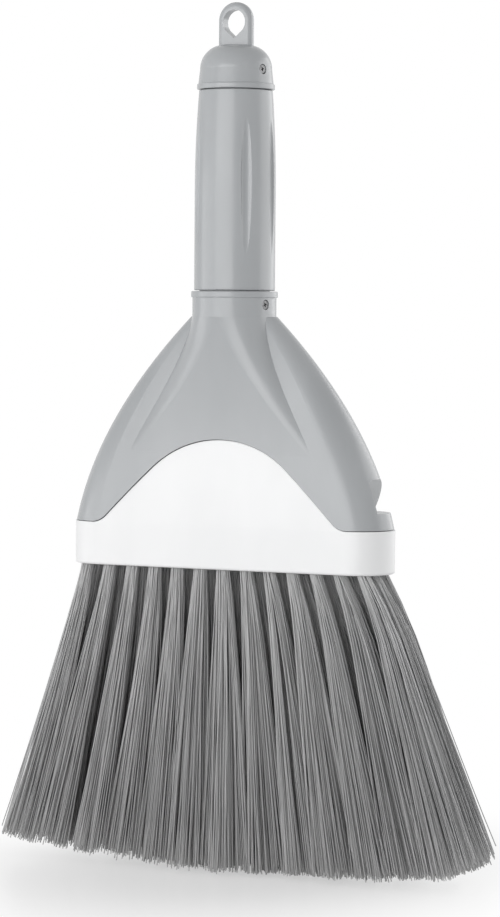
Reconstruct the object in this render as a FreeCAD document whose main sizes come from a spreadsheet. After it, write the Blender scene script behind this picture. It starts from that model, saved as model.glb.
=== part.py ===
import FreeCAD, Part
import os
import re
import Sketcher

# Hand broom, standing on its bristle tips. Millimetres, Z up, X along the head, front towards -Y.
# The origin is on the floor under the handle's axis.

doc = FreeCAD.newDocument("HandBroom")

# Driving dimensions: name, value, meaning
SIZES = [
    ("block_height", 113.5, "floor to the underside of the bristle block"),
    ("plinth_height", 16.5, "plain band of the block under the shell"),
    ("head_height", 78, "shell foot to the top of the wings"),
    ("collar_height", 9.5, "top of the wings to the collar's rim"),
    ("grip_length", 75, "collar rim to cap rim"),
    ("cap_height", 17, "cap rim to the top of the dome"),
    ("eye_height", 16, "top of the dome to the top of the hang eye"),
    ("fit_gap", 0.1, "gap round a spigot in its socket"),
    ("seam", 0.3, "visible gap between neighbouring mouldings"),
    ("edge_round", 0.4, "rounding of rims and shoulders"),
    ("bead", 0.5, "how far the rims of collar and cap stand out"),
    ("bead_height", 2.4, "rims of collar and cap"),
    ("grip_radius", 15.2, "grip tube, lower half"),
    ("grip_taper", 1.4, "grip tube, how much thinner it is at the cap"),
    ("grip_step", 2, "grip tube's shoulder at the collar"),
    ("cap_step", 2.8, "grip tube's shoulder at the cap"),
    ("tube_wall", 2.4, "grip tube inside the cap"),
    ("cap_plug", 10, "length of the grip tube inside the cap"),
    ("socket_depth", 12.5, "depth of the collar's socket for the grip tube"),
    ("flute_length", 74, "grip flutes"),
    ("flute_radius", 2.8, "grip flutes"),
    ("flute_depth", 1.1, "grip flutes, at their middle"),
    ("flute_pitch", 48, "degrees between grip flutes"),
    ("cap_wall", 3, "cap round the grip tube"),
    ("dome_inset", 0.6, "cap, how much thinner it is where its rounding starts"),
    ("dome_flat", 4.5, "radius of the cap's flat top"),
    ("eye_radius", 6.9, "outside of the hang eye"),
    ("eye_hole", 4.6, "round part of the hang eye's hole"),
    ("eye_wall", 2.9, "hang eye above its hole"),
    ("eye_point", 1.5, "point of the hole below its round part"),
    ("eye_thick", 4.4, "hang eye, front to back"),
    ("eye_round", 1.9, "rounding of the hang eye's edges"),
    ("collar_wall", 2.5, "collar round the grip tube"),
    ("collar_root", 0.2, "collar below the top of the wings"),
    ("wing_top", 17.5, "half width of the wings at the neck"),
    ("wing_foot", 65, "half width of the wings at their feet"),
    ("wing_thin", 4.6, "half thickness of the wings at the neck"),
    ("wing_thick", 14.1, "half thickness of the wings at their feet"),
    ("wing_bulge", 0.65, "how far the wings curve outwards, 0 for straight"),
    ("shell_wall", 2.4, "front and rear wall of the shell"),
    ("end_wall", 14, "solid end of each wing"),
    ("cavity_rise", 55.4, "room inside the shell, above its feet"),
    ("fan_inset", 0.05, "top of the neck fan inside the collar's face, left and right"),
    ("fan_flat", 0.2, "top of the neck fan inside the collar's face, front and rear"),
    ("fan_rise", 1, "top of the wings to the top of the fan"),
    ("fan_half", 55.5, "half width of the neck fan at its foot"),
    ("fan_sink", 0.3, "foot of the neck fan under the wings' face"),
    ("fan_drop", 58, "top of the wings to the foot of the fan"),
    ("fan_hollow", 1.7, "how hollow the fan's face is, 1 for straight"),
    ("fan_flare", 1.5, "how the fan's sides curve outwards, 1 for straight"),
    ("arch_rise", 32.2, "crown of the arch window above the shell's feet"),
    ("crown_radius", 41, "arch window, radius at the crown"),
    ("side_radius", 500, "arch window, radius of the sides"),
    ("crown_angle", 42.7, "degrees of crown on each side of the middle"),
    ("arch_flare", 8, "arch window, radius where its sides turn into the feet"),
    ("notch_depth", 13, "clip notch in the rear of each wing, inwards from the feet"),
    ("notch_start", 6.2, "clip notch, its upper end inwards from the feet"),
    ("notch_height", 12.5, "clip notch, height of its ramp"),
    ("lip_height", 6, "clip notch, height of the lip under it"),
    ("notch_front", 6, "clip notch, how far it passes the middle of the wing to the front"),
    ("panel_recess", 0.6, "block panel and plinth behind the shell's face"),
    ("plinth_step", 0.5, "block past the shell's feet, left and right"),
    ("plinth_round", 1, "rounding of the block's lower edge"),
    ("tongue_rise", 29.3, "block inside the shell, above the shell's feet"),
    ("core_wall", 4.4, "front and rear wall of the block's tongue at its foot"),
    ("core_end", 10.7, "end wall of the block's tongue at its foot"),
    ("screw_turn", 74, "degrees from the front to the handle screws"),
    ("screw_head", 1.6, "screw head radius"),
    ("head_thick", 1, "screw head height"),
    ("screw_shank", 0.9, "screw shank radius"),
    ("screw_length", 4.2, "handle screws under their heads"),
    ("block_screw_length", 9, "block screws under their heads"),
    ("slot_width", 0.5, "cross recess, width of each arm"),
    ("slot_depth", 0.6, "cross recess"),
    ("seat_wall", 1.1, "wall left under a screw's head"),
    ("recess_length", 10, "screw recess, outwards from the screw's seat"),
    ("cap_screw_rise", 7.5, "cap rim to the cap screw"),
    ("collar_screw_drop", 5, "collar rim to the collar screw"),
    ("block_screw_rise", 10, "block screws above the shell's feet"),
    ("block_screw_inset", 5.2, "block screws from the ends of the block's tongue"),
    ("end_margin", 5.25, "end of the block to the last tuft holes"),
    ("row_pitch", 7.8, "between rows of tufts"),
    ("row_flare", 6.4, "spread of the outer rows' tips, front and rear"),
    ("tuft_root", 2.75, "tuft radius in its hole"),
    ("tuft_spread", 37.6, "tips of the last tufts past their roots, left and right"),
    ("tuft_trim", 1, "how much longer the tufts are than the block is high"),
    ("tip_gap", 0.3, "between the tips of neighbouring tufts"),
    ("hole_depth", 12, "tuft holes"),
    ("anchor_bite", 0.75, "wire anchor past the tuft hole on each side"),
    ("anchor_wide", 2, "wire anchor, along the hole"),
    ("anchor_thick", 0.5, "wire anchor"),
    ("anchor_gap", 1, "end of the tuft hole to the anchor"),
]
NAMES = {name for name, _, _ in SIZES}
# Tufts in each row
TUFTS = 13
# Marks an arc of an outline that curves into the shape
HOLLOW = "hollow"

sheet = doc.addObject("Spreadsheet::Sheet", "Sizes")
for row, (name, amount, meaning) in enumerate(SIZES, start=1):
    sheet.set(f"A{row}", meaning)
    sheet.set(f"B{row}", str(amount))
    sheet.setAlias(f"B{row}", name)
doc.recompute()

# Levels above the floor, as formulas of the driving dimensions
FOOT = "(block_height + plinth_height)"
NECK = f"({FOOT} + head_height)"
COLLAR = f"({NECK} + collar_height)"
CAP = f"({COLLAR} + grip_length)"
DOME = f"({CAP} + cap_height)"
TOP = f"({DOME} + eye_height)"

# Radii of the handle
GRIP_TOP = "(grip_radius - grip_taper)"
LOWER_PLUG = "(grip_radius - grip_step)"
UPPER_PLUG = f"({GRIP_TOP} - cap_step)"
GRIP_BORE = f"({UPPER_PLUG} - tube_wall)"
COLLAR_BORE = f"({LOWER_PLUG} + fit_gap)"
COLLAR_FACE = f"({COLLAR_BORE} + collar_wall)"
CAP_BORE = f"({UPPER_PLUG} + fit_gap)"
CAP_FACE = f"({CAP_BORE} + cap_wall)"

# Sizes of the block and the spacing of its tufts
PLINTH_HALF = "(wing_foot + plinth_step)"
TONGUE_HALF = "(wing_foot - end_wall - seam)"
CORE_HALF = f"({TONGUE_HALF} - core_end)"
CORE_DEPTH = "(wing_thick - shell_wall - seam - core_wall)"
HOLE_RADIUS = "(tuft_root + fit_gap)"
LAST_ROOT = f"({PLINTH_HALF} - end_margin - {HOLE_RADIUS})"
TUFT_PITCH = f"(2 * {LAST_ROOT} / {TUFTS - 1})"
TUFT_LENGTH = "(block_height + tuft_trim)"
TIP_PITCH = f"(2 * ({LAST_ROOT} + tuft_spread) / {TUFTS - 1})"
SLANTED_PITCH = f"({TIP_PITCH} * cos(atan(tuft_spread / block_height)))"
TUFT_TIP = f"((min({SLANTED_PITCH}; row_pitch + row_flare) - tip_gap) / 2)"
ANCHOR_LONG = f"(2 * ({HOLE_RADIUS} + anchor_bite))"
ANCHOR_LEVEL = "(hole_depth - anchor_gap - anchor_wide)"


def formula(text):
    """The text as an expression, with each driving dimension taken from the sheet."""
    return re.sub(r"[a-z_]+", lambda word: f"Sizes.{word[0]}" if word[0] in NAMES else word[0], str(text))


def number(text):
    """The present value of a formula."""
    found = sheet.evalExpression(formula(text))
    return float(getattr(found, "Value", found))


def bind(thing, **formulas):
    """Binds properties of an object to formulas."""
    for name, text in formulas.items():
        thing.setExpression(name, formula(text))
    return thing


def place(thing, x, y, z):
    """Binds an object's position."""
    for axis, text in zip("xyz", (x, y, z)):
        thing.setExpression(f"Placement.Base.{axis}", formula(text))
    return thing


def turn(thing, axis_x, axis_y, angle):
    """Binds an object's turn about a level axis."""
    for axis, text in zip("xyz", (axis_x, axis_y, "0")):
        thing.setExpression(f"Placement.Rotation.Axis.{axis}", formula(text))
    thing.setExpression("Placement.Rotation.Angle", formula(angle))
    return thing


def fuse(name, shapes):
    """Several shapes as one."""
    made = doc.addObject("Part::MultiFuse", name)
    made.Shapes = shapes
    return made


def group(name, shapes):
    """Several shapes side by side."""
    made = doc.addObject("Part::Compound", name)
    made.Links = shapes
    return made


def cut(name, base, tool):
    """Base without tool."""
    made = doc.addObject("Part::Cut", name)
    made.Base = base
    made.Tool = tool
    return made


def box(name, length, width, height):
    """A box bound to formulas."""
    return bind(doc.addObject("Part::Box", name), Length=length, Width=width, Height=height)


def cylinder(name, radius, height):
    """A cylinder bound to formulas."""
    return bind(doc.addObject("Part::Cylinder", name), Radius=radius, Height=height)


def sketch_in(body, role, name, height="0"):
    """An empty sketch on one of a body's origin planes, moved along its normal."""
    plane = [feature for feature in body.Origin.OriginFeatures if feature.Role == role][0]
    sketch = body.newObject("Sketcher::SketchObject", name)
    sketch.AttachmentSupport = [(plane, "")]
    sketch.MapMode = "FlatFace"
    sketch.setExpression("AttachmentOffset.Base.z", formula(height))
    return sketch


def pin(sketch, shape, spot, x=None, y=None):
    """Holds one point of a sketch at formulas of x and y."""
    for kind, text, axis in (("DistanceX", x, -2), ("DistanceY", y, -1)):
        if text is None:
            continue
        if number(text) == 0:
            sketch.addConstraint(Sketcher.Constraint("PointOnObject", shape, spot, axis))
            continue
        held = sketch.addConstraint(Sketcher.Constraint(kind, -1, 1, shape, spot, number(text)))
        sketch.setExpression(f"Constraints[{held}]", formula(text))


def outline(sketch, points):
    """A closed outline, anticlockwise. A third item in a point starts an arc round that centre."""
    first = sketch.GeometryCount
    count = len(points)
    corners = [FreeCAD.Vector(number(point[0]), number(point[1]), 0) for point in points]
    ends = corners[1:] + corners[:1]
    hollow = [HOLLOW in point for point in points]
    for point, start, end in zip(points, corners, ends):
        if len(point) == 2:
            sketch.addGeometry(Part.LineSegment(start, end))
            continue
        centre = FreeCAD.Vector(number(point[2][0]), number(point[2][1]), 0)
        circle = Part.Circle(centre, FreeCAD.Vector(0, 0, 1), start.distanceToPoint(centre))
        span = (end, start) if HOLLOW in point else (start, end)
        sketch.addGeometry(Part.ArcOfCircle(circle, circle.parameter(span[0]), circle.parameter(span[1])))
    for step, point in enumerate(points):
        here = first + step
        after = (step + 1) % count
        spots = (1 if hollow[step] else 2, 2 if hollow[after] else 1)
        sketch.addConstraint(Sketcher.Constraint("Coincident", here, spots[0], first + after, spots[1]))
        pin(sketch, here, 2 if hollow[step] else 1, point[0], point[1])
        if len(point) == 2:
            continue
        if abs(corners[step].y - ends[step].y) < abs(corners[step].x - ends[step].x):
            pin(sketch, here, 3, y=point[2][1])
        else:
            pin(sketch, here, 3, x=point[2][0])
    return sketch


def stadium(body, name, height, half_width, half_depth):
    """A level section with straight front and rear and full round ends."""
    sketch = sketch_in(body, "XY_Plane", name, height)
    reach = f"({half_width}) - ({half_depth})"
    points = [
        (f"-({reach})", f"-({half_depth})"),
        (reach, f"-({half_depth})", (reach, "0")),
        (reach, half_depth),
        (f"-({reach})", half_depth, (f"-({reach})", "0")),
    ]
    return outline(sketch, points)


def disc(body, name, height, radius):
    """A level round section about the handle's axis."""
    sketch = sketch_in(body, "XY_Plane", name, height)
    sketch.addGeometry(Part.Circle(FreeCAD.Vector(), FreeCAD.Vector(0, 0, 1), number(radius)))
    sketch.addConstraint(Sketcher.Constraint("Coincident", 0, 3, -1, 1))
    held = sketch.addConstraint(Sketcher.Constraint("Radius", 0, number(radius)))
    sketch.setExpression(f"Constraints[{held}]", formula(radius))
    return sketch


def wing_spread(rise):
    """How far the wings have spread at a rise above their feet: 0 at the neck, 1 at the feet."""
    drop = f"(1 - ({rise}) / head_height)"
    return f"({drop} + wing_bulge * ({drop} - {drop} ^ 2))"


def wing_width(rise):
    """Half width of the wings at a rise above their feet."""
    return f"(wing_top + (wing_foot - wing_top) * {wing_spread(rise)})"


def wing_depth(rise):
    """Half thickness of the wings at a rise above their feet."""
    return f"(wing_thin + (wing_thick - wing_thin) * {wing_spread(rise)})"


def wing_sections(body, name, count, rise, sink="0", less_width="0", less_depth="0"):
    """Level sections of the winged head, from a rise above its feet down to a sink below them."""
    sections = []
    for step in range(count):
        level = f"({rise} - ({rise} + {sink}) * {step} / {count - 1})"
        half_width = f"{wing_width(level)} - ({less_width})"
        half_depth = f"{wing_depth(level)} - ({less_depth})"
        sections.append(stadium(body, f"{name}{step}", f"{FOOT} + {level}", half_width, half_depth))
    return sections


def fan_sections(body, count):
    """Level sections of the neck fan, rising from the wings' face to the collar in a hollow curve."""
    top = "(head_height + fan_rise)"
    top_half = f"({COLLAR_FACE} - fan_inset)"
    proud = f"({COLLAR_FACE} - fan_flat - {wing_depth(top)})"
    sections = []
    for step in range(count):
        share = f"({step} / {count - 1})"
        level = f"({top} - (fan_drop + fan_rise) * (1 - {share}))"
        half_width = f"{top_half} + (fan_half - {top_half}) * (1 - {share}) ^ fan_flare"
        half_depth = f"{wing_depth(level)} - fan_sink + ({proud} + fan_sink) * {share} ^ fan_hollow"
        sections.append(stadium(body, f"FanSection{step}", f"{FOOT} + {level}", half_width, half_depth))
    return sections


def loft(body, kind, name, sections):
    """An additive or subtractive loft through sections."""
    made = body.newObject(f"PartDesign::{kind}Loft", name)
    made.Profile = sections[0]
    made.Sections = sections[1:]
    return made


def extrude(body, kind, name, sketch, length, both_ways=False):
    """A pad or a pocket of a sketch."""
    made = body.newObject(f"PartDesign::{kind}", name)
    made.Profile = sketch
    made.SideType = "Symmetric" if both_ways else "One side"
    return bind(made, Length=length)


def spin(body, name, sketch):
    """A full turn of a sketch about the handle's axis."""
    made = body.newObject("PartDesign::Revolution", name)
    made.Profile = sketch
    made.ReferenceAxis = (sketch, ["V_Axis"])
    made.Angle = 360
    return made


def edges_of(feature):
    """The feature's edges as pairs of name and shape."""
    doc.recompute()
    return [(f"Edge{count}", edge) for count, edge in enumerate(feature.Shape.Edges, start=1)]


def round_edges(body, name, feature, edges, radius):
    """Rounds some edges of a feature."""
    made = body.newObject("PartDesign::Fillet", name)
    made.Base = (feature, [edge_name for edge_name, _ in edges])
    return bind(made, Radius=radius)


def round_rings(body, name, feature, rings):
    """Rounds circular edges given by their radius and height."""
    found = []
    for radius, height in rings:
        for edge_name, edge in edges_of(feature):
            bounds = edge.BoundBox
            level = abs(bounds.ZMin - number(height)) < 0.01 and abs(bounds.ZMax - number(height)) < 0.01
            if level and abs(bounds.XMax - number(radius)) < 0.01:
                found.append((edge_name, edge))
    return round_edges(body, name, feature, found, "edge_round")


# Where each screw's head bears, its height, and its length under the head
CAP_SCREW = (f"({CAP_BORE} + seat_wall)", f"({CAP} + cap_screw_rise)", "screw_length")
COLLAR_SCREW = (f"({COLLAR_BORE} + seat_wall)", f"({COLLAR} - collar_screw_drop)", "screw_length")
BLOCK_SCREW = (
    f"({wing_depth('block_screw_rise')} - shell_wall + seat_wall)",
    f"({FOOT} + block_screw_rise)",
    "block_screw_length",
)


def on_spoke(thing, radius, height):
    """Sets a shape at a radius on the handle screws' spoke, with its own Z pointing outwards."""
    place(thing, f"({radius}) * sin(screw_turn)", f"-({radius}) * cos(screw_turn)", height)
    return turn(thing, "cos(screw_turn)", "sin(screw_turn)", "90")


def on_rear(side):
    """A function that sets a shape at a depth behind the head, with its own Z pointing to the rear."""

    def set_at(thing, depth, height):
        place(thing, f"{side} * ({TONGUE_HALF} - block_screw_inset)", depth, height)
        return turn(thing, "1", "0", "-90")

    return set_at


def screw(name, set_at, spot):
    """A self-tapping screw with a cross recess."""
    seat, height, length = spot
    head = set_at(cylinder(f"{name}_head", "screw_head", "head_thick"), seat, height)
    shank = cylinder(f"{name}_shank", "screw_shank", length)
    set_at(shank, f"{seat} - {length}", height)
    arms = []
    for reach, width in (("screw_head", "slot_width"), ("slot_width", "screw_head")):
        arm = box(f"{name}_arm{len(arms)}", reach, width, "head_thick")
        arms.append(place(arm, f"-{reach} / 2", f"-{width} / 2", "0"))
    cross = fuse(f"{name}_cross", arms)
    set_at(cross, f"{seat} + head_thick - slot_depth", height)
    return cut(name, fuse(f"{name}_whole", [head, shank]), cross)


def screw_room(name, set_at, spot):
    """The room that a screw takes: a recess for its head, open outwards, and a tapped hole."""
    seat, height, length = spot
    recess = set_at(cylinder(f"{name}_recess", "screw_head + seam", "recess_length"), seat, height)
    tapped = cylinder(f"{name}_tapped", "screw_shank", f"{length} + seam")
    set_at(tapped, f"{seat} - {length} - seam", height)
    return fuse(f"{name}_room", [recess, tapped])


cap_room = screw_room("cap", on_spoke, CAP_SCREW)
collar_room = screw_room("collar", on_spoke, COLLAR_SCREW)
left_room = screw_room("left", on_rear(-1), BLOCK_SCREW)
right_room = screw_room("right", on_rear(1), BLOCK_SCREW)


def make_end_cap():
    """The hollow cap with its moulded hang eye."""
    body = doc.addObject("PartDesign::Body", "CapBody")
    rim = f"({CAP_FACE} + bead)"
    start = f"({CAP_FACE} - dome_inset)"
    shoulder = f"({DOME} - {start} + dome_flat)"
    roof = f"({CAP} + cap_plug + seam)"
    wall = [
        (CAP_BORE, f"{CAP} + seam"),
        (rim, f"{CAP} + seam"),
        (rim, f"{CAP} + bead_height"),
        (CAP_FACE, f"{CAP} + bead_height"),
        (start, shoulder, ("dome_flat", shoulder)),
        ("dome_flat", DOME),
        ("0", DOME),
        ("0", roof),
        (CAP_BORE, roof),
    ]
    dome = spin(body, "CapDome", outline(sketch_in(body, "XZ_Plane", "CapProfile"), wall))
    round_rings(body, "CapRounded", dome, [(rim, f"{CAP} + seam"), (rim, f"{CAP} + bead_height")])
    eye_middle = f"({TOP} - eye_radius)"
    plate = [
        ("-eye_radius", roof),
        ("eye_radius", roof),
        ("eye_radius", eye_middle, ("0", eye_middle)),
        ("-eye_radius", eye_middle),
    ]
    plate_sketch = outline(sketch_in(body, "XZ_Plane", "EyeOutline"), plate)
    eye = extrude(body, "Pad", "Eye", plate_sketch, "eye_thick", True)
    face = number("eye_thick / 2")
    free = [edge for edge in edges_of(eye) if edge[1].CenterOfMass.z > number(f"{DOME} + eye_round")]
    face_edges = [edge for edge in free if abs(abs(edge[1].CenterOfMass.y) - face) < 0.01]
    round_edges(body, "EyeRounded", eye, face_edges, "eye_round")
    hole_middle = f"({TOP} - eye_wall - eye_hole)"
    drop = "(eye_hole + eye_point)"
    touch_x = f"(eye_hole * sqrt(1 - (eye_hole / {drop}) ^ 2))"
    touch_z = f"({hole_middle} - eye_hole ^ 2 / {drop})"
    teardrop = [
        ("0", f"{hole_middle} - {drop}"),
        (touch_x, touch_z, ("0", hole_middle)),
        (f"-{touch_x}", touch_z),
    ]
    hole_sketch = outline(sketch_in(body, "XZ_Plane", "HoleOutline"), teardrop)
    extrude(body, "Pocket", "EyeHole", hole_sketch, "eye_thick * 2", True)
    return cut("end_cap", body, cap_room)


def make_grip_tube():
    """The barrel grip, stepped down at both ends, with finger flutes on its two sides."""
    body = doc.addObject("PartDesign::Body", "GripBody")
    waist = f"({COLLAR} + grip_length / 2)"
    barrel = "((grip_length ^ 2 / 4 + grip_taper ^ 2) / (2 * grip_taper))"
    wall = [
        (GRIP_BORE, f"{COLLAR} - socket_depth + fit_gap"),
        (LOWER_PLUG, f"{COLLAR} - socket_depth + fit_gap"),
        (LOWER_PLUG, f"{COLLAR} + seam"),
        ("grip_radius", f"{COLLAR} + seam"),
        ("grip_radius", waist, (f"grip_radius - {barrel}", waist)),
        (GRIP_TOP, CAP),
        (UPPER_PLUG, CAP),
        (UPPER_PLUG, f"{CAP} + cap_plug"),
        (GRIP_BORE, f"{CAP} + cap_plug"),
    ]
    grip = spin(body, "GripBarrel", outline(sketch_in(body, "XZ_Plane", "GripProfile"), wall))
    round_rings(body, "GripRounded", grip, [("grip_radius", f"{COLLAR} + seam"), (GRIP_TOP, CAP)])
    reach = "(grip_radius + flute_radius - flute_depth)"
    flutes = []
    for side in (-1, 1):
        for step in (-1, 0, 1):
            angle = f"({side} * (90 + {step} * flute_pitch))"
            flute = doc.addObject("Part::Ellipsoid", f"Flute{len(flutes)}")
            bind(flute, Radius1="flute_length / 2", Radius2="flute_radius", Radius3="flute_radius")
            place(flute, f"{reach} * sin({angle})", f"-{reach} * cos({angle})", waist)
            turn(flute, f"cos({angle})", f"sin({angle})", "-atan(grip_taper / grip_length)")
            flutes.append(flute)
    return cut("grip_tube", body, group("GripRoom", flutes + [cap_room, collar_room]))


def arch(sketch, less="0"):
    """The arch window's outline: a crown arc between flatter side arcs that flare into the feet."""
    base = f"({FOOT} - {less})"
    crown = f"({FOOT} + arch_rise - crown_radius)"
    turn_x = f"(crown_radius - {less}) * sin(crown_angle)"
    turn_z = f"{crown} + (crown_radius - {less}) * cos(crown_angle)"
    side_x = "((side_radius - crown_radius) * sin(crown_angle))"
    side_z = f"({crown} - (side_radius - crown_radius) * cos(crown_angle))"
    reach = "(side_radius + arch_flare)"
    flare_z = f"({FOOT} + arch_flare)"
    flare_x = f"(sqrt({reach} ^ 2 - ({flare_z} - {side_z}) ^ 2) - {side_x})"
    share = f"((side_radius - {less}) / {reach})"
    meet_x = f"(({flare_x} + {side_x}) * {share} - {side_x})"
    meet_z = f"({side_z} + ({flare_z} - {side_z}) * {share})"
    points = [
        (f"-{flare_x}", base),
        (flare_x, base, (flare_x, flare_z), HOLLOW),
        (meet_x, meet_z, (f"-{side_x}", side_z)),
        (turn_x, turn_z, ("0", crown)),
        (f"-{turn_x}", turn_z, (side_x, side_z)),
        (f"-{meet_x}", meet_z, (f"-{flare_x}", flare_z), HOLLOW),
    ]
    return outline(sketch, points)


def make_head_shell():
    """The hollow winged head with its neck fan, collar, arch windows and clip notches."""
    body = doc.addObject("PartDesign::Body", "ShellBody")
    loft(body, "Additive", "Wings", wing_sections(body, "WingSection", 6, "head_height"))
    loft(body, "Additive", "Fan", fan_sections(body, 6))
    rim = f"({COLLAR_FACE} + bead)"
    ring = [
        (GRIP_BORE, f"{NECK} - collar_root"),
        (COLLAR_FACE, f"{NECK} - collar_root"),
        (COLLAR_FACE, f"{COLLAR} - bead_height"),
        (rim, f"{COLLAR} - bead_height"),
        (rim, COLLAR),
        (GRIP_BORE, COLLAR),
    ]
    collar = spin(body, "Collar", outline(sketch_in(body, "XZ_Plane", "CollarProfile"), ring))
    round_rings(body, "CollarRounded", collar, [(rim, COLLAR), (rim, f"{COLLAR} - bead_height")])
    extrude(body, "Pocket", "Socket", disc(body, "SocketOutline", COLLAR, COLLAR_BORE), "socket_depth")
    cavity = wing_sections(body, "CavitySection", 5, "cavity_rise", "0", "end_wall", "shell_wall")
    loft(body, "Subtractive", "Cavity", cavity)
    window = arch(sketch_in(body, "XZ_Plane", "WindowOutline"))
    extrude(body, "Pocket", "Window", window, "wing_thick * 4", True)
    notches = sketch_in(body, "XZ_Plane", "NotchOutlines", "notch_front")
    lip = f"({FOOT} + lip_height)"
    ramp = f"({lip} + notch_height)"
    far = "(wing_foot + notch_depth)"
    deep = "(wing_foot - notch_depth)"
    upper = "(wing_foot - notch_start)"
    outline(notches, [(deep, lip), (far, lip), (far, ramp), (upper, ramp)])
    outline(notches, [(f"-{deep}", lip), (f"-{upper}", ramp), (f"-{far}", ramp), (f"-{far}", lip)])
    extrude(body, "Pocket", "Notches", notches, "wing_thick * 2")
    return cut("head_shell", body, group("ShellRoom", [collar_room, left_room, right_room]))


# Each row of tufts: its name, and its place from front to rear
ROWS = [("front", -1), ("middle", 0), ("rear", 1)]


def along_tuft(row, step):
    """A function that sets a shape on a tuft's axis, at a distance above the block's underside."""
    root_x = f"({step} * {TUFT_PITCH})"
    root_y = f"({row} * row_pitch)"
    lean_x = f"({root_x} / {LAST_ROOT} * tuft_spread)"
    lean_y = f"({row} * row_flare)"
    side = f"sqrt({lean_x} ^ 2 + {lean_y} ^ 2)"
    slant = f"sqrt({lean_x} ^ 2 + {lean_y} ^ 2 + block_height ^ 2)"

    def set_at(thing, distance):
        share = f"({distance}) / {slant}"
        x = f"{root_x} - {lean_x} * {share}"
        y = f"{root_y} - {lean_y} * {share}"
        place(thing, x, y, f"block_height + block_height * {share}")
        return turn(thing, lean_y, f"-{lean_x}", f"atan({side} / block_height)")

    return set_at


def anchor(name, set_at, grow="0"):
    """A wire anchor across a tuft's root, or the room for it."""
    length = f"({ANCHOR_LONG} + 2 * {grow})"
    thick = f"(anchor_thick + 2 * {grow})"
    bar = box(f"{name}_bar", length, thick, f"anchor_wide + 2 * {grow}")
    place(bar, f"-{length} / 2", f"-{thick} / 2", f"-{grow}")
    return set_at(group(name, [bar]), ANCHOR_LEVEL)


def make_tufts():
    """Every tuft as its own solid, the anchors row by row, and the room they take in the block."""
    floor = box("Floor", f"4 * {TUFT_LENGTH}", TUFT_LENGTH, TUFT_LENGTH)
    place(floor, f"-2 * {TUFT_LENGTH}", f"-{TUFT_LENGTH} / 2", f"-{TUFT_LENGTH}")
    tufts, anchors, rooms = [], [], []
    for row_name, row in ROWS:
        row_anchors = []
        for index in range(TUFTS):
            name = f"tuft_{row_name}_{index + 1:02d}"
            set_at = along_tuft(row, index - (TUFTS - 1) / 2)
            brush = doc.addObject("Part::Cone", f"{name}_brush")
            bind(brush, Radius1=TUFT_TIP, Radius2="tuft_root", Height=TUFT_LENGTH)
            set_at(brush, f"-{TUFT_LENGTH}")
            root = set_at(cylinder(f"{name}_root", "tuft_root", "hole_depth - fit_gap"), "0")
            hole = set_at(cylinder(f"{name}_hole", HOLE_RADIUS, "hole_depth * 2"), "-hole_depth")
            slot = anchor(f"{name}_slot", set_at, "fit_gap")
            spare = group(f"{name}_spare", [floor, slot])
            tufts.append(cut(name, fuse(f"{name}_whole", [brush, root]), spare))
            row_anchors.append(anchor(f"{name}_anchor", set_at))
            rooms += [hole, slot]
        anchors.append(group(f"anchors_{row_name}", row_anchors))
    return tufts, anchors, rooms


def make_bristle_block(tuft_rooms):
    """The white block: arch panels, plinth and the tongue inside the shell, drilled for the tufts."""
    body = doc.addObject("PartDesign::Body", "BlockBody")
    sink = "(2 * seam)"
    panel = wing_sections(body, "PanelSection", 4, "arch_rise", sink, "0", "panel_recess")
    loft(body, "Additive", "Panel", panel)
    around = sketch_in(body, "XZ_Plane", "AroundArch")
    far = "(wing_foot * 2)"
    outline(around, [(f"-{far}", "block_height"), (far, "block_height"), (far, NECK), (f"-{far}", NECK)])
    arch(around, "seam")
    extrude(body, "Pocket", "ArchTrim", around, "wing_thick * 4", True)
    plinth = stadium(body, "PlinthOutline", "block_height", PLINTH_HALF, "wing_thick - panel_recess")
    band = extrude(body, "Pad", "Plinth", plinth, "plinth_height - seam")
    level = number("block_height")
    low_edges = [edge for edge in edges_of(band) if abs(edge[1].BoundBox.ZMax - level) < 0.01]
    round_edges(body, "PlinthRounded", band, low_edges, "plinth_round")
    less = ("end_wall + seam", "shell_wall + seam")
    tongue = wing_sections(body, "TongueSection", 3, "tongue_rise", sink, *less)
    loft(body, "Additive", "Tongue", tongue)
    core = stadium(body, "CoreOutline", f"{FOOT} + arch_rise", CORE_HALF, CORE_DEPTH)
    extrude(body, "Pocket", "Core", core, "arch_rise")
    return cut("bristle_block", body, group("BlockRoom", tuft_rooms + [left_room, right_room]))


tufts, anchors, tuft_rooms = make_tufts()
rear_screws = [
    screw("left_screw", on_rear(-1), BLOCK_SCREW),
    screw("right_screw", on_rear(1), BLOCK_SCREW),
]
nodes = [
    make_end_cap(),
    screw("cap_screw", on_spoke, CAP_SCREW),
    make_grip_tube(),
    screw("collar_screw", on_spoke, COLLAR_SCREW),
    make_head_shell(),
    make_bristle_block(tuft_rooms),
    group("block_screws", rear_screws),
]
nodes += anchors + tufts
doc.recompute()

for thing in doc.Objects:
    if "Invalid" in thing.State or "Error" in thing.State:
        raise SystemExit(f"{thing.Label} did not compute")
for node in nodes:
    if node.Shape.isNull() or not node.Shape.isValid():
        raise SystemExit(f"{node.Label} has no valid shape")
os.makedirs("parts", exist_ok=True)
for node in nodes:
    node.Shape.exportStep(f"parts/{node.Label}.step")
    print(node.Label, len(node.Shape.Solids), "solids,", round(node.Shape.Volume), "cubic mm")
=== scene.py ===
# %% [markdown]
# # A hand broom, dressed for its picture
#
# The broom has a grey moulded handle and winged head, a white block that shows through the head's
# arch, and three rows of grey tufts that it stands on. Its hard pieces come ready-made from the
# CAD model and keep their shapes. This lesson gives them finishes, draws the bristles one filament
# at a time, and sets up the camera and the light of the photograph. Everything shares one frame:
# metres, z up, x along the head, and the front towards minus y.

# %% Load the model
import math
import random

import bpy
from mathutils import Matrix, Vector


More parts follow.
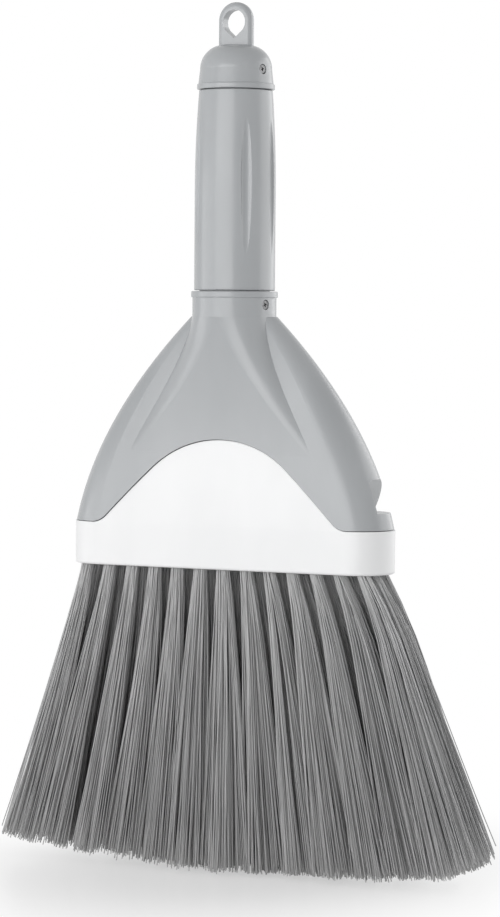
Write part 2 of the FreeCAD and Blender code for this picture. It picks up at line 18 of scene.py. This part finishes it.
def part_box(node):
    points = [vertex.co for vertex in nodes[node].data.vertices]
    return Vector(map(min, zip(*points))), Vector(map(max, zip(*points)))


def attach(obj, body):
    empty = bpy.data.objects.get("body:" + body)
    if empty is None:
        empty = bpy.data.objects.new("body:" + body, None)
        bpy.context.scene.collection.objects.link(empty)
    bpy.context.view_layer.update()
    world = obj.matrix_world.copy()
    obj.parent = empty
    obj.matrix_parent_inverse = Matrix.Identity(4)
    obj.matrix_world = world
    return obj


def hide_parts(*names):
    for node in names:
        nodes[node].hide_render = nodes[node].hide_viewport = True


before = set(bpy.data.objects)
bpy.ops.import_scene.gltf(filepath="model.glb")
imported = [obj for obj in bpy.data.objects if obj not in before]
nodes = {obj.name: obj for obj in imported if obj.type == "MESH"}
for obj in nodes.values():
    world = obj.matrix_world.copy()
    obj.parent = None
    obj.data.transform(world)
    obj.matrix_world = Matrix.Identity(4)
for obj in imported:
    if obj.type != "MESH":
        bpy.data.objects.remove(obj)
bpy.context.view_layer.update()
MM = 0.001

# %% [markdown]
# ## The camera
#
# The photograph was taken from a little over a metre away with a long lens: the head turns its
# right end towards us by about 26 degrees, and the camera looks slightly down. The numbers come
# from fitting the outline of the model to the outline in the picture. A lens is easier to state in
# pixels of the picture than in millimetres, so the cell turns one into the other.

# %% Place the camera
PICTURE_TALL = 917
LENS_IN_PIXELS = 3250
SENSOR_TALL = 36.0
TURN = math.radians(26.2)
ROLL = math.radians(0.44)
CAMERA_AWAY = 1.222
CAMERA_HEIGHT = 0.2115
AIM_ASIDE = 0.0063
AIM_HEIGHT = 0.1547
up = Vector((0, 0, 1))
across = Vector((math.cos(TURN), math.sin(TURN), 0))
towards = Vector((math.sin(TURN), -math.cos(TURN), 0))
eye = towards * CAMERA_AWAY + up * CAMERA_HEIGHT
aim = across * AIM_ASIDE + up * AIM_HEIGHT

lens = bpy.data.cameras.new("photo_camera")
lens.sensor_fit = "VERTICAL"
lens.sensor_height = SENSOR_TALL
lens.lens = LENS_IN_PIXELS * SENSOR_TALL / PICTURE_TALL
camera = bpy.data.objects.new("photo_camera", lens)
bpy.context.scene.collection.objects.link(camera)
looking = (aim - eye).to_track_quat("-Z", "Y").to_matrix().to_4x4()
camera.matrix_world = Matrix.Translation(eye) @ looking @ Matrix.Rotation(ROLL, 4, "Z")
bpy.context.scene.camera = camera
print("lens", round(lens.lens, 1), "mm, camera", round((aim - eye).length, 3), "m from its aim")

# %% [markdown]
# ## A small kit for finishes
#
# A finish is a graph of nodes. The same few moves come back in every finish on this broom: add a
# node with its settings, read a noise at a place on the model, and turn it into a colour, a gloss or
# a bump. All the CAD pieces sit at the origin, so object coordinates are metres in the shared frame,
# and a noise of size 0.001 has features about a millimetre wide. A noise mostly lies between 0.3 and
# 0.7, so those two ends are stretched to the range that a finish asks for.

# %% Node helpers
NOISE_LOW = 0.3
NOISE_HIGH = 0.7


def new_finish(name):
    finish = bpy.data.materials.new(name)
    finish.use_nodes = True
    return finish, finish.node_tree, finish.node_tree.nodes["Principled BSDF"]


def add(tree, kind, **settings):
    node = tree.nodes.new(kind)
    for name, value in settings.items():
        setattr(node, name, value)
    return node


def noise(tree, size, detail, stretch=(1, 1, 1)):
    """A noise with features of this size, in metres, longer along an axis where stretch is below 1."""
    place = add(tree, "ShaderNodeTexCoord")
    mapping = add(tree, "ShaderNodeMapping")
    mapping.inputs["Scale"].default_value = stretch
    grain = add(tree, "ShaderNodeTexNoise")
    grain.inputs["Scale"].default_value = 1 / size
    grain.inputs["Detail"].default_value = detail
    tree.links.new(place.outputs["Object"], mapping.inputs["Vector"])
    tree.links.new(mapping.outputs["Vector"], grain.inputs["Vector"])
    return grain.outputs["Fac"]


def spread(tree, value, low, high):
    """Turns a noise into a smooth value from low to high."""
    ramp = add(tree, "ShaderNodeMapRange", interpolation_type="SMOOTHSTEP")
    ramp.inputs["From Min"].default_value = NOISE_LOW
    ramp.inputs["From Max"].default_value = NOISE_HIGH
    ramp.inputs["To Min"].default_value = low
    ramp.inputs["To Max"].default_value = high
    tree.links.new(value, ramp.inputs["Value"])
    return ramp.outputs["Result"]


def between(tree, value, dark, light):
    """A colour between two others, by a value from 0 to 1."""
    mix = add(tree, "ShaderNodeMix", data_type="RGBA")
    mix.inputs["A"].default_value = (*dark, 1)
    mix.inputs["B"].default_value = (*light, 1)
    tree.links.new(value, mix.inputs["Factor"])
    return mix.outputs["Result"]


def grain_bump(tree, shader, value, height, strength):
    bump = add(tree, "ShaderNodeBump")
    bump.inputs["Strength"].default_value = strength
    bump.inputs["Distance"].default_value = height
    tree.links.new(value, bump.inputs["Height"])
    tree.links.new(bump.outputs["Normal"], shader.inputs["Normal"])


print("helpers for noise, colour and bump are ready")

# %% [markdown]
# ## Grey moulded plastic
#
# The cap, the grip and the head are polypropylene from a polished mould: a satin gloss, a faint
# cloudiness in the colour where the melt flowed along the piece, and a very fine orange peel. A
# flat colour would look like a drawing, so a long soft noise tints it by a few percent, a second one
# varies the gloss, and a third, much finer, lifts the surface by hundredths of a millimetre.

# %% Make the grey plastic
FLOW_SIZE = 0.03
FLOW_STRETCH = (1, 1, 0.35)
WIPE_SIZE = 0.02
PEEL_SIZE = 0.0016
PEEL_HEIGHT = 0.00004
PEEL_STRENGTH = 0.06


def plastic(name, dark, light, smooth, rough):
    """A plastic that clouds between two colours and two roughnesses."""
    finish, tree, shader = new_finish(name)
    flow = spread(tree, noise(tree, FLOW_SIZE, detail=3.0, stretch=FLOW_STRETCH), 0, 1)
    tree.links.new(between(tree, flow, dark, light), shader.inputs["Base Color"])
    wipe = spread(tree, noise(tree, WIPE_SIZE, detail=3.0), smooth, rough)
    tree.links.new(wipe, shader.inputs["Roughness"])
    peel = noise(tree, PEEL_SIZE, detail=2.0)
    grain_bump(tree, shader, peel, PEEL_HEIGHT, PEEL_STRENGTH)
    return finish


grey = plastic(
    "grey_plastic",
    dark=(0.385, 0.399, 0.412),
    light=(0.425, 0.439, 0.452),
    smooth=0.24,
    rough=0.27,
)
print("grey plastic made")

# %% [markdown]
# ## White moulded plastic
#
# The bristle block is the same kind of plastic without the grey. It is almost white, so it has to
# stay under full white to keep its shape in the light, and its gloss is a little duller.

# %% Make the white plastic
white = plastic(
    "white_plastic",
    dark=(0.875, 0.88, 0.885),
    light=(0.912, 0.914, 0.918),
    smooth=0.30,
    rough=0.38,
)
print("white plastic made")

# %% [markdown]
# ## Screw steel and anchor wire
#
# The screws show as small dark dots: their plated steel is painted dark, as painted shade for the
# recesses they sit in. The wire anchors, which fold each tuft into its hole, are lighter steel. Old
# plating is never even: a fine noise tints it in patches, for the oil and dust that gather on it, and
# another varies its gloss.

# %% Make the steel
PATCH_SIZE = 0.0015
DULL_SIZE = 0.0008
STEEL_SMOOTH = 0.28
STEEL_ROUGH = 0.5
PIT_SIZE = 0.0004
PIT_HEIGHT = 0.00003
PIT_STRENGTH = 0.3


def steel(name, dark, light):
    finish, tree, shader = new_finish(name)
    shader.inputs["Metallic"].default_value = 1.0
    patches = spread(tree, noise(tree, PATCH_SIZE, detail=4.0), 0, 1)
    tree.links.new(between(tree, patches, dark, light), shader.inputs["Base Color"])
    dulled = spread(tree, noise(tree, DULL_SIZE, detail=3.0), STEEL_SMOOTH, STEEL_ROUGH)
    tree.links.new(dulled, shader.inputs["Roughness"])
    pits = noise(tree, PIT_SIZE, detail=2.0)
    grain_bump(tree, shader, pits, PIT_HEIGHT, PIT_STRENGTH)
    return finish


# The screw steel is painted dark, as painted shade for the recesses the screws sit in.
screw_steel = steel("screw_steel", dark=(0.11, 0.11, 0.113), light=(0.18, 0.18, 0.183))
anchor_wire = steel("anchor_wire", dark=(0.4, 0.4, 0.4), light=(0.62, 0.61, 0.59))
print("screw steel and anchor wire made")

# %% [markdown]
# ## Dress the hard pieces
#
# Each CAD piece keeps its mesh and swaps its plain material for one of the finishes. Nothing here
# moves a piece or touches its vertices.

# %% Hand out the finishes
FINISHES = {
    "end_cap": grey,
    "grip_tube": grey,
    "head_shell": grey,
    "bristle_block": white,
    "cap_screw": screw_steel,
    "collar_screw": screw_steel,
    "block_screws": screw_steel,
    "anchors_front": anchor_wire,
    "anchors_middle": anchor_wire,
    "anchors_rear": anchor_wire,
}
for name, finish in FINISHES.items():
    nodes[name].data.materials.clear()
    nodes[name].data.materials.append(finish)
print(len(FINISHES), "hard pieces dressed")

# %% [markdown]
# ## Where each tuft starts and ends
#
# In the CAD model a tuft is one tapered solid, set in a hole of the block. Its middle line and the
# radius of its trimmed tip say all that the real bundle needs. The cell reads both from the solid,
# so the bristles follow the model if it changes: the middle of the solid's top and the average of
# the corners that hang below the block both lie on the middle line.

# %% Read the ends of the tufts
TOP_BAND = 2 * MM
HANGING_BAND = 1.5 * MM
TIP_BAND = 0.2 * MM
block_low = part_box("bristle_block")[0].z


def middle(points):
    low = Vector(min(p[i] for p in points) for i in range(3))
    high = Vector(max(p[i] for p in points) for i in range(3))
    return (low + high) / 2


def ends_of(name):
    """Where a tuft leaves the block, the middle of its tip, and the radius of its tip."""
    points = [v.co for v in nodes[name].data.vertices]
    top = max(p.z for p in points)
    sunk = middle([p for p in points if p.z > top - TOP_BAND])
    hanging = [p for p in points if p.z < block_low + HANGING_BAND]
    way = (sum(hanging, Vector()) / len(hanging) - sunk).normalized()
    reach = max((p - sunk).dot(way) for p in points)
    tip = sunk + way * reach
    root = sunk + way * (sunk.z - block_low) / -way.z
    tip_radius = max((p - tip).length for p in points if (p - tip).dot(way) > -TIP_BAND)
    return root, tip, tip_radius


tufts = sorted(name for name in nodes if name.startswith("tuft_"))
last_root = max(ends_of(name)[0].x for name in tufts)
root, tip, tip_radius = ends_of(tufts[0])
print(len(tufts), "tufts, the first from", root, "to", tip, "with a radius of", tip_radius)

# %% [markdown]
# ## One filament
#
# A filament is a plastic thread less than half a millimetre thick. It could be a hair curve, but a
# library part needs a real mesh, so each one is a four-sided tube of a few rings along a bent line.
# Round shading hides the four sides at this size.

# %% Draw a thread along points
SIDES = 4
THICK = 0.4 * MM


def thread(points, verts, faces):
    """Adds a tube along the points, closed at its tip, to the lists of corners and faces."""
    start = len(verts)
    for i, point in enumerate(points):
        along = (points[min(i + 1, len(points) - 1)] - points[max(i - 1, 0)]).normalized()
        side = along.cross(Vector((0, 1, 0))).normalized()
        front = along.cross(side)
        for k in range(SIDES):
            angle = math.tau * k / SIDES
            verts.append(point + (side * math.cos(angle) + front * math.sin(angle)) * THICK / 2)
    for ring in range(len(points) - 1):
        for k in range(SIDES):
            a = start + ring * SIDES + k
            b = start + ring * SIDES + (k + 1) % SIDES
            faces.append((a, b, b + SIDES, a + SIDES))
    last = start + (len(points) - 1) * SIDES
    faces.append(tuple(last + k for k in range(SIDES)))


print("a thread has", SIDES, "sides and is", round(THICK / MM, 2), "mm thick")

# %% [markdown]
# ## How a thread hangs
#
# No thread is straight. It strays from the middle line of its tuft a little earlier than a straight
# line would, and it sways by a fraction of a millimetre. A tuft that use has splayed turns aside right
# under the block and then runs on as before, so a thread takes its whole splay in its first third.

# %% Bend a thread
RINGS = 10
BEND_BY = 0.3
EARLY = 0.85
SWAY_ANGLE_ACROSS = 5
SWAY_ANGLE_DEEP = 4


def bent(t):
    """How far a splayed thread has gone aside: fast at its root, and all the way at BEND_BY."""
    return 1 - (1 - min(t / BEND_BY, 1)) ** 2


def hang(root, tip, start, end, aside, phase, sway):
    """A thread's points from start to end, in a tuft whose middle line runs from root to tip."""
    points = []
    for i in range(RINGS):
        t = i / (RINGS - 1)
        point = start.lerp(end, t)
        ahead = t ** EARLY - t
        point.x += ahead * (end.x - start.x - (tip.x - root.x)) + aside * bent(t)
        point.y += ahead * (end.y - start.y - (tip.y - root.y))
        point.x += sway * math.sin(phase + SWAY_ANGLE_ACROSS * t) * t
        point.y += sway * math.cos(phase + SWAY_ANGLE_DEEP * t) * t
        points.append(point)
    return points


print("a thread has", RINGS, "rings")

# %% [markdown]
# ## The trim
#
# The factory cuts a broom level, and sweeping undoes it. Single threads end higher than their
# neighbours, whole strands are a little shorter, the trim rises towards both ends of the head, and
# the last threads on the right are worn the most.

# %% Trim a thread
RAGGED = 3.6 * MM
RAGGED_POWER = 1.5
TRIM_MIDDLE = 14 * MM
TRIM_RISE = 6 * MM
TRIM_REACH = 97 * MM
TRIM_POWER = 1.6
WORN_END = 5 * MM
WORN_FROM = 88 * MM
WORN_FULL = 106 * MM
WORN_LEAST = 0.5
WORN_MOST = 1.3


def ease(value, low, high):
    """0 below low, 1 above high, and a smooth step between them."""
    share = min(max((value - low) / (high - low), 0), 1)
    return share * share * (3 - 2 * share)


def trimmed(x, strand_cut, chance):
    """How high above the floor a thread ends, at this place along the head."""
    cut = RAGGED * chance.random() ** RAGGED_POWER + strand_cut
    rise = TRIM_RISE * (abs(x - TRIM_MIDDLE) / TRIM_REACH) ** TRIM_POWER
    worn = WORN_END * ease(x, WORN_FROM, WORN_FULL) * chance.uniform(WORN_LEAST, WORN_MOST)
    return THICK + cut + rise + worn


print("the trim rises by", TRIM_RISE / MM, "mm, and wear takes about", WORN_END / MM, "mm")

# %% [markdown]
# ## A tuft of filaments
#
# The threads leave the block as a tight round bundle and spread on their way down until neighbouring
# tufts mingle. Inside a tuft they lean together in a few loose strands, and that makes the dark streaks
# between them. A thread joins the strand nearest to its own place in the root, but chance can make
# another strand seem nearer than it is. Use has combed the tips to the right, most of all at the left
# end, and has splayed the right half past the end of the block. A seed for each tuft keeps every run
# the same.

# %% Fill a tuft
THREADS = 210
ROOT_RADIUS = 2.45 * MM
STRANDS = 7
STRAND_REACH = 1.1
STRAND_CUT = 1.2 * MM
THREAD_REACH = 0.6
ROOT_TO_TIP = 2.8
SEEMS_NEARER = 0.4
COMB = 5.6 * MM
GATHER = 0.08
SPLAY = 3.6 * MM
STRAY_ACROSS = 1.2 * MM
STRAY_DEEP = 0.8 * MM
SWAY = 0.6 * MM
LEAST_SWAY = 0.2


def in_disc(chance, radius):
    angle = chance.uniform(0, math.tau)
    reach = radius * math.sqrt(chance.random())
    return Vector((reach * math.cos(angle), reach * math.sin(angle), 0))


def tuft_lines(name, chance):
    """The threads of a tuft, each a list of points from the root down and the number of its strand."""
    root, tip, tip_radius = ends_of(name)
    aside = SPLAY * max(root.x / last_root, 0)
    combed = COMB - GATHER * root.x
    target = tip + Vector((combed + chance.gauss(0, STRAY_ACROSS), chance.gauss(0, STRAY_DEEP), 0))
    strands = [in_disc(chance, tip_radius * STRAND_REACH) for _ in range(STRANDS)]
    strand_cuts = [STRAND_CUT * chance.random() for _ in range(STRANDS)]
    lines = []
    for _ in range(THREADS):
        from_middle = in_disc(chance, ROOT_RADIUS)
        below = from_middle * ROOT_TO_TIP
        away = [(s - below).length * chance.uniform(SEEMS_NEARER, 1) for s in strands]
        strand = away.index(min(away))
        end = target + strands[strand] + in_disc(chance, tip_radius * THREAD_REACH)
        end.z = trimmed(end.x, strand_cuts[strand], chance)
        phase = chance.uniform(0, math.tau)
        sway = chance.uniform(LEAST_SWAY, 1) * SWAY
        points = hang(root, tip, root + from_middle, end, aside, phase, sway)
        lines.append((points, strand))
    return lines


print(THREADS * len(tufts), "threads in all")

# %% [markdown]
# ## Bristle finish
#
# The threads are grey nylon, a little glossy. No two have quite the same tone, and their tips are
# paler: partly where cutting and wear have frayed them, and partly as painted light that lifts the
# tips out of the shade near the floor. The tone and the way along a thread are kept on the mesh, as
# two numbers at each ring of a thread. The finish only turns them into colour.

# %% Make the bristle finish
FIBRE_DARK = (0.34, 0.34, 0.342)
FIBRE_LIGHT = (0.58, 0.58, 0.582)
# Pale grey of the tips: partly frayed ends, partly painted light against the shade near the floor.
FRAYED_AND_PAINTED_LIGHT_GREY = (0.66, 0.66, 0.66, 1)
FRAYED_AND_LIT_FROM = 0.86
FRAYED_AND_LIT_MOST = 0.6
GLOSS_SIZE = 0.004
FIBRE_SMOOTH = 0.4
FIBRE_ROUGH = 0.6


def bristle_finish():
    finish, tree, shader = new_finish("bristle_fibre")
    tone = add(tree, "ShaderNodeAttribute", attribute_name="tone")
    along = add(tree, "ShaderNodeAttribute", attribute_name="along")
    grey_of_thread = between(tree, tone.outputs["Fac"], FIBRE_DARK, FIBRE_LIGHT)
    frayed_and_lit = add(tree, "ShaderNodeMapRange")
    frayed_and_lit.inputs["From Min"].default_value = FRAYED_AND_LIT_FROM
    frayed_and_lit.inputs["To Max"].default_value = FRAYED_AND_LIT_MOST
    tree.links.new(along.outputs["Fac"], frayed_and_lit.inputs["Value"])
    pale = add(tree, "ShaderNodeMix", data_type="RGBA")
    pale.inputs["B"].default_value = FRAYED_AND_PAINTED_LIGHT_GREY
    tree.links.new(frayed_and_lit.outputs["Result"], pale.inputs["Factor"])
    tree.links.new(grey_of_thread, pale.inputs["A"])
    tree.links.new(pale.outputs["Result"], shader.inputs["Base Color"])
    gloss = spread(tree, noise(tree, GLOSS_SIZE, detail=3.0), FIBRE_SMOOTH, FIBRE_ROUGH)
    tree.links.new(gloss, shader.inputs["Roughness"])
    return finish


fibre = bristle_finish()
print("bristle finish made")

# %% [markdown]
# ## Set the tufts
#
# Every bundle becomes its own object, which stands for one tuft of the CAD model and hides it. A
# thread's tone is partly its own and partly its strand's, and it grows darker on the way down.

# %% Make the bundles
TONE_LOW = 0.3
TONE_OF_THREAD = 0.45
TONE_OF_STRAND = 0.35
# How much darker a thread grows towards its tip, and how far down it is at its darkest.
DARKER_DOWN = 0.4
DARKEST_FROM = 0.85


def set_tuft(name, seed):
    chance = random.Random(seed)
    verts, faces, tones, alongs = [], [], [], []
    lines = tuft_lines(name, chance)
    strand_tones = [TONE_OF_STRAND * chance.random() for _ in range(STRANDS)]
    for points, strand in lines:
        thread(points, verts, faces)
        root_tone = TONE_LOW + TONE_OF_THREAD * chance.random() + strand_tones[strand]
        for i in range(RINGS):
            along = i / (RINGS - 1)
            tones += [root_tone - DARKER_DOWN * min(along / DARKEST_FROM, 1)] * SIDES
            alongs += [along] * SIDES
    mesh = bpy.data.meshes.new("bristles_" + name)
    mesh.from_pydata(verts, [], faces)
    mesh.attributes.new("tone", "FLOAT", "POINT").data.foreach_set("value", tones)
    mesh.attributes.new("along", "FLOAT", "POINT").data.foreach_set("value", alongs)
    mesh.polygons.foreach_set("use_smooth", [True] * len(mesh.polygons))
    mesh.materials.append(fibre)
    bundle = bpy.data.objects.new("bristles_" + name.removeprefix("tuft_"), mesh)
    bpy.context.scene.collection.objects.link(bundle)
    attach(bundle, "root")
    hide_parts(name)
    return len(faces)


drawn = sum(set_tuft(name, seed) for seed, name in enumerate(tufts))
print(drawn, "faces of bristle")

# %% [markdown]
# ## The floor
#
# The broom stands on a white glossy table that runs into a white background. Only the part near the
# broom matters: there the floor is a real surface with a shadow and a blurred reflection. Further
# out, the camera sees plain white, so the table has no edge. The fade from one to the other is an
# oval around the broom, and even at its middle half of the floor is plain white, so that the shadow
# stays as light as in the photograph.

# %% Lay the floor
TABLE_WHITE = (0.93, 0.93, 0.93, 1)
TABLE_ROUGH = 0.28
FADE_OVAL = (0.16, 0.20, 1)
FADE_FROM = 0.2
FADE_TO = 0.95
FADE_LEAST = 0.5
FLOOR_REACH = 4.0


def seen_directly(tree):
    """1 for what the camera sees, straight or in a gloss or through a clear thing, and 0 for light."""
    path = add(tree, "ShaderNodeLightPath")
    gloss = add(tree, "ShaderNodeMath", operation="MAXIMUM")
    either = add(tree, "ShaderNodeMath", operation="MAXIMUM")
    tree.links.new(path.outputs["Is Glossy Ray"], gloss.inputs[0])
    tree.links.new(path.outputs["Is Transmission Ray"], gloss.inputs[1])
    tree.links.new(path.outputs["Is Camera Ray"], either.inputs[0])
    tree.links.new(gloss.outputs["Value"], either.inputs[1])
    return either.outputs["Value"]


def floor_finish():
    finish, tree, shader = new_finish("white_table")
    shader.inputs["Base Color"].default_value = TABLE_WHITE
    shader.inputs["Roughness"].default_value = TABLE_ROUGH
    place = add(tree, "ShaderNodeTexCoord")
    oval = add(tree, "ShaderNodeVectorMath", operation="DIVIDE")
    oval.inputs[1].default_value = FADE_OVAL
    far = add(tree, "ShaderNodeVectorMath", operation="LENGTH")
    tree.links.new(place.outputs["Object"], oval.inputs[0])
    tree.links.new(oval.outputs["Vector"], far.inputs[0])
    fade = add(tree, "ShaderNodeMapRange", interpolation_type="SMOOTHSTEP")
    fade.inputs["From Min"].default_value = FADE_FROM
    fade.inputs["From Max"].default_value = FADE_TO
    fade.inputs["To Min"].default_value = FADE_LEAST
    tree.links.new(far.outputs["Value"], fade.inputs["Value"])
    part = add(tree, "ShaderNodeMath", operation="MULTIPLY")
    tree.links.new(fade.outputs["Result"], part.inputs[0])
    tree.links.new(seen_directly(tree), part.inputs[1])
    plain = add(tree, "ShaderNodeEmission")
    mix = add(tree, "ShaderNodeMixShader")
    tree.links.new(part.outputs["Value"], mix.inputs["Fac"])
    tree.links.new(shader.outputs["BSDF"], mix.inputs[1])
    tree.links.new(plain.outputs["Emission"], mix.inputs[2])
    tree.links.new(mix.outputs["Shader"], tree.nodes["Material Output"].inputs["Surface"])
    return finish


table = bpy.data.meshes.new("table")
corners = [(-1, -1), (1, -1), (1, 1), (-1, 1)]
table.from_pydata([(x * FLOOR_REACH, y * FLOOR_REACH, 0) for x, y in corners], [], [(0, 1, 2, 3)])
table.materials.append(floor_finish())
floor = bpy.data.objects.new("table", table)
bpy.context.scene.collection.objects.link(floor)
print("floor laid,", 2 * FLOOR_REACH, "m wide")

# %% [markdown]
# ## Soft studio light
#
# The handle tells how the studio was lit: bright panels from the camera round to the left, a darker
# stretch to the right of the camera, and a panel behind on the right that edges the handle with
# light. A pale world fills the rest, and the camera sees it as plain white.

# %% Light the room
ROOM_LIGHT = 0.40


def light_room():
    world = bpy.data.worlds.new("white_room")
    world.use_nodes = True
    bpy.context.scene.world = world
    tree = world.node_tree
    glow = tree.nodes["Background"]
    glow.inputs["Color"].default_value = (1, 1, 1, 1)
    level = add(tree, "ShaderNodeMapRange")
    level.inputs["To Min"].default_value = ROOM_LIGHT
    level.inputs["To Max"].default_value = 1.0
    tree.links.new(seen_directly(tree), level.inputs["Value"])
    tree.links.new(level.outputs["Result"], glow.inputs["Strength"])


def panel(name, bearing, distance, wide, tall, brightness):
    """A soft box that stands on the floor, at a bearing in degrees to the right of the camera."""
    lamp = bpy.data.lights.new(name, "AREA")
    lamp.shape = "RECTANGLE"
    lamp.size = wide
    lamp.size_y = tall
    lamp.energy = brightness * math.pi * wide * tall
    holder = bpy.data.objects.new(name, lamp)
    bpy.context.scene.collection.objects.link(holder)
    angle = TURN + math.radians(bearing)
    outward = Vector((math.sin(angle), -math.cos(angle), 0))
    facing = (-outward).to_track_quat("-Z", "Y").to_matrix().to_4x4()
    holder.matrix_world = Matrix.Translation(outward * distance + up * tall / 2) @ facing


light_room()
panel("front_panel", bearing=-32, distance=1.9, wide=1.9, tall=0.8, brightness=3.45)
panel("left_panel", bearing=-84, distance=1.9, wide=1.6, tall=0.4, brightness=2.6)
panel("rear_panel", bearing=112, distance=1.7, wide=2.2, tall=1.2, brightness=1.8)
bpy.context.scene.view_settings.view_transform = "Standard"
print("three panels and a pale room")
